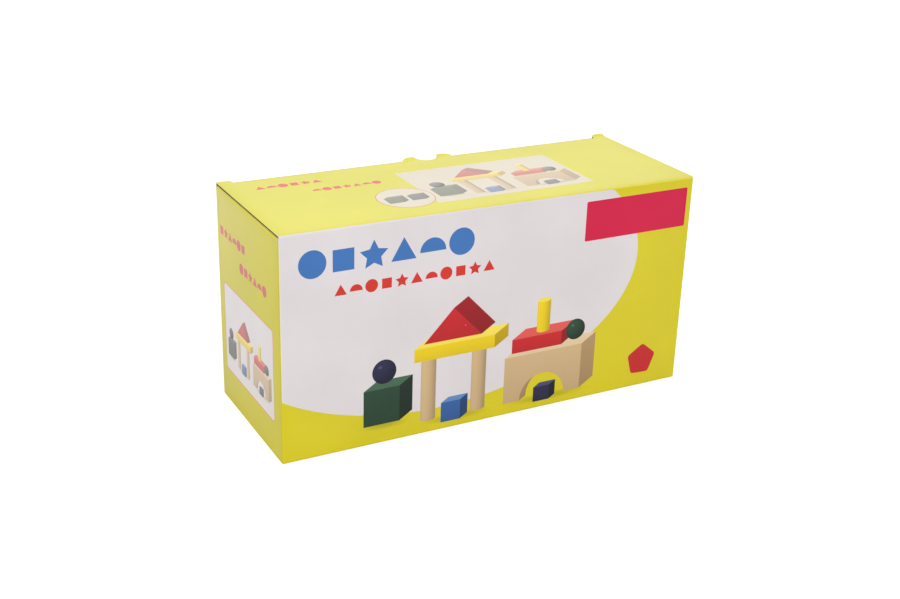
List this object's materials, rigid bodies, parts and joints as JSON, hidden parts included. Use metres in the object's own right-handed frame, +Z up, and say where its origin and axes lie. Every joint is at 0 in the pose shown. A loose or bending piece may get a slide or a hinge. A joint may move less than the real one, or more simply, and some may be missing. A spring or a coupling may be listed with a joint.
{
  "type": "boxed toy balance",
  "caption": "Printed tuck-top carton of corrugated board with a hinged lid, holding a two-pan wooden beam balance and its set of block weights.",
  "frame": {"origin": "middle of the carton's underside, on the surface that it stands on", "axes": "+X along the carton's length to the right, +Y from its front wall to its back wall, +Z up"},
  "size_m": [0.35, 0.13, 0.176],
  "materials": {
    "printed_board": "printed yellow, satin varnish, pale inner liner, raw brown edges",
    "plain_board": "plain corrugated board",
    "beech": "sanded, thin clear varnish",
    "dowel_wood": "plain dowel",
    "navy_lacquer": "glossy lacquer on wood",
    "yellow_lacquer": "satin lacquer on wood",
    "red_lacquer": "satin lacquer on wood",
    "green_lacquer": "satin lacquer on wood",
    "screw_steel": "zinc plated"
  },
  "bodies": {
    "carton": {"front_panel": "printed_board", "back_panel": "printed_board", "left_panel": "printed_board", "right_panel": "printed_board", "glue_flap": "plain_board", "bottom_front_flap": "printed_board", "bottom_back_flap": "printed_board", "bottom_left_flap": "plain_board", "bottom_right_flap": "plain_board", "base_board": "beech", "pillar": "beech", "pillar_screws": "screw_steel", "pillar_pins": "dowel_wood", "pillar_front_caps": "navy_lacquer", "pillar_rear_caps": "navy_lacquer"},
    "lid": {"lid_panel": "printed_board"},
    "tuck": {"tuck_flap": "printed_board"},
    "left_dust": {"left_dust_flap": "printed_board"},
    "right_dust": {"right_dust_flap": "printed_board"},
    "upper_arm": {"upper_beam": "beech"},
    "lower_arm": {"lower_beam": "beech"},
    "left_pan": {"left_hanger_front_plate": "beech", "left_hanger_rear_plate": "beech", "left_hanger_pins": "dowel_wood", "left_hanger_front_caps": "navy_lacquer", "left_hanger_rear_caps": "navy_lacquer", "left_tray_dowels": "dowel_wood", "left_tray": "yellow_lacquer"},
    "right_pan": {"right_hanger_front_plate": "beech", "right_hanger_rear_plate": "beech", "right_hanger_pins": "dowel_wood", "right_hanger_front_caps": "navy_lacquer", "right_hanger_rear_caps": "navy_lacquer", "right_tray_dowels": "dowel_wood", "right_tray": "red_lacquer"},
    "weight_1": {"weight_1_block": "green_lacquer", "weight_1_knob": "green_lacquer"},
    "weight_2": {"weight_2_block": "navy_lacquer", "weight_2_knob": "navy_lacquer"},
    "weight_3": {"weight_3_block": "yellow_lacquer", "weight_3_knob": "yellow_lacquer"},
    "weight_4": {"weight_4_block": "navy_lacquer", "weight_4_knob": "navy_lacquer"},
    "weight_5": {"weight_5_block": "green_lacquer", "weight_5_knob": "green_lacquer"}
  },
  "joints": [
    {"name": "lid_hinge", "type": "hinge", "parent": "carton", "child": "lid", "pos_m": [0, -0.06427, 0.17527], "axis": [1, 0, 0], "range_deg": [0, 175]},
    {"name": "tuck_fold", "type": "hinge", "parent": "lid", "child": "tuck", "pos_m": [0, 0.06017, 0.17527], "axis": [1, 0, 0], "range_deg": [0, 87.5]},
    {"name": "left_dust_fold", "type": "hinge", "parent": "carton", "child": "left_dust", "pos_m": [-0.17427, 0, 0.17347], "axis": [0, -1, 0], "range_deg": [0, 87.5]},
    {"name": "right_dust_fold", "type": "hinge", "parent": "carton", "child": "right_dust", "pos_m": [0.17427, 0, 0.17347], "axis": [0, 1, 0], "range_deg": [0, 87.5]},
    {"name": "beam_rock", "type": "hinge", "parent": "carton", "child": "upper_arm", "pos_m": [0, 0.004, 0.1213], "axis": [0, 1, 0], "range_deg": [-9, 9]},
    {"name": "lower_beam_rock", "type": "hinge", "parent": "carton", "child": "lower_arm", "pos_m": [0, 0.004, 0.0963], "axis": [0, 1, 0], "range_deg": [-9, 9]},
    {"name": "left_pan_level", "type": "hinge", "parent": "upper_arm", "child": "left_pan", "pos_m": [-0.1175, 0.004, 0.1198], "axis": [0, 1, 0], "range_deg": [-9, 9]},
    {"name": "right_pan_level", "type": "hinge", "parent": "upper_arm", "child": "right_pan", "pos_m": [0.1175, 0.004, 0.1198], "axis": [0, 1, 0], "range_deg": [-9, 9]},
    {"name": "weight_1_lift", "type": "slide", "parent": "carton", "child": "weight_1", "axis": [0, 0, 1], "range_m": [0, 0.04]},
    {"name": "weight_2_lift", "type": "slide", "parent": "carton", "child": "weight_2", "axis": [0, 0, 1], "range_m": [0, 0.04]},
    {"name": "weight_3_lift", "type": "slide", "parent": "carton", "child": "weight_3", "axis": [0, 0, 1], "range_m": [0, 0.04]},
    {"name": "weight_4_lift", "type": "slide", "parent": "carton", "child": "weight_4", "axis": [0, 0, 1], "range_m": [0, 0.04]},
    {"name": "weight_5_lift", "type": "slide", "parent": "carton", "child": "weight_5", "axis": [0, 0, 1], "range_m": [0, 0.04]}
  ],
  "couplings": [
    {"joint": "tuck_fold", "follows": "lid_hinge", "ratio": 0.5},
    {"joint": "left_dust_fold", "follows": "lid_hinge", "ratio": 0.5},
    {"joint": "right_dust_fold", "follows": "lid_hinge", "ratio": 0.5},
    {"joint": "lower_beam_rock", "follows": "beam_rock", "ratio": 1},
    {"joint": "left_pan_level", "follows": "beam_rock", "ratio": -1},
    {"joint": "right_pan_level", "follows": "beam_rock", "ratio": -1}
  ]
}
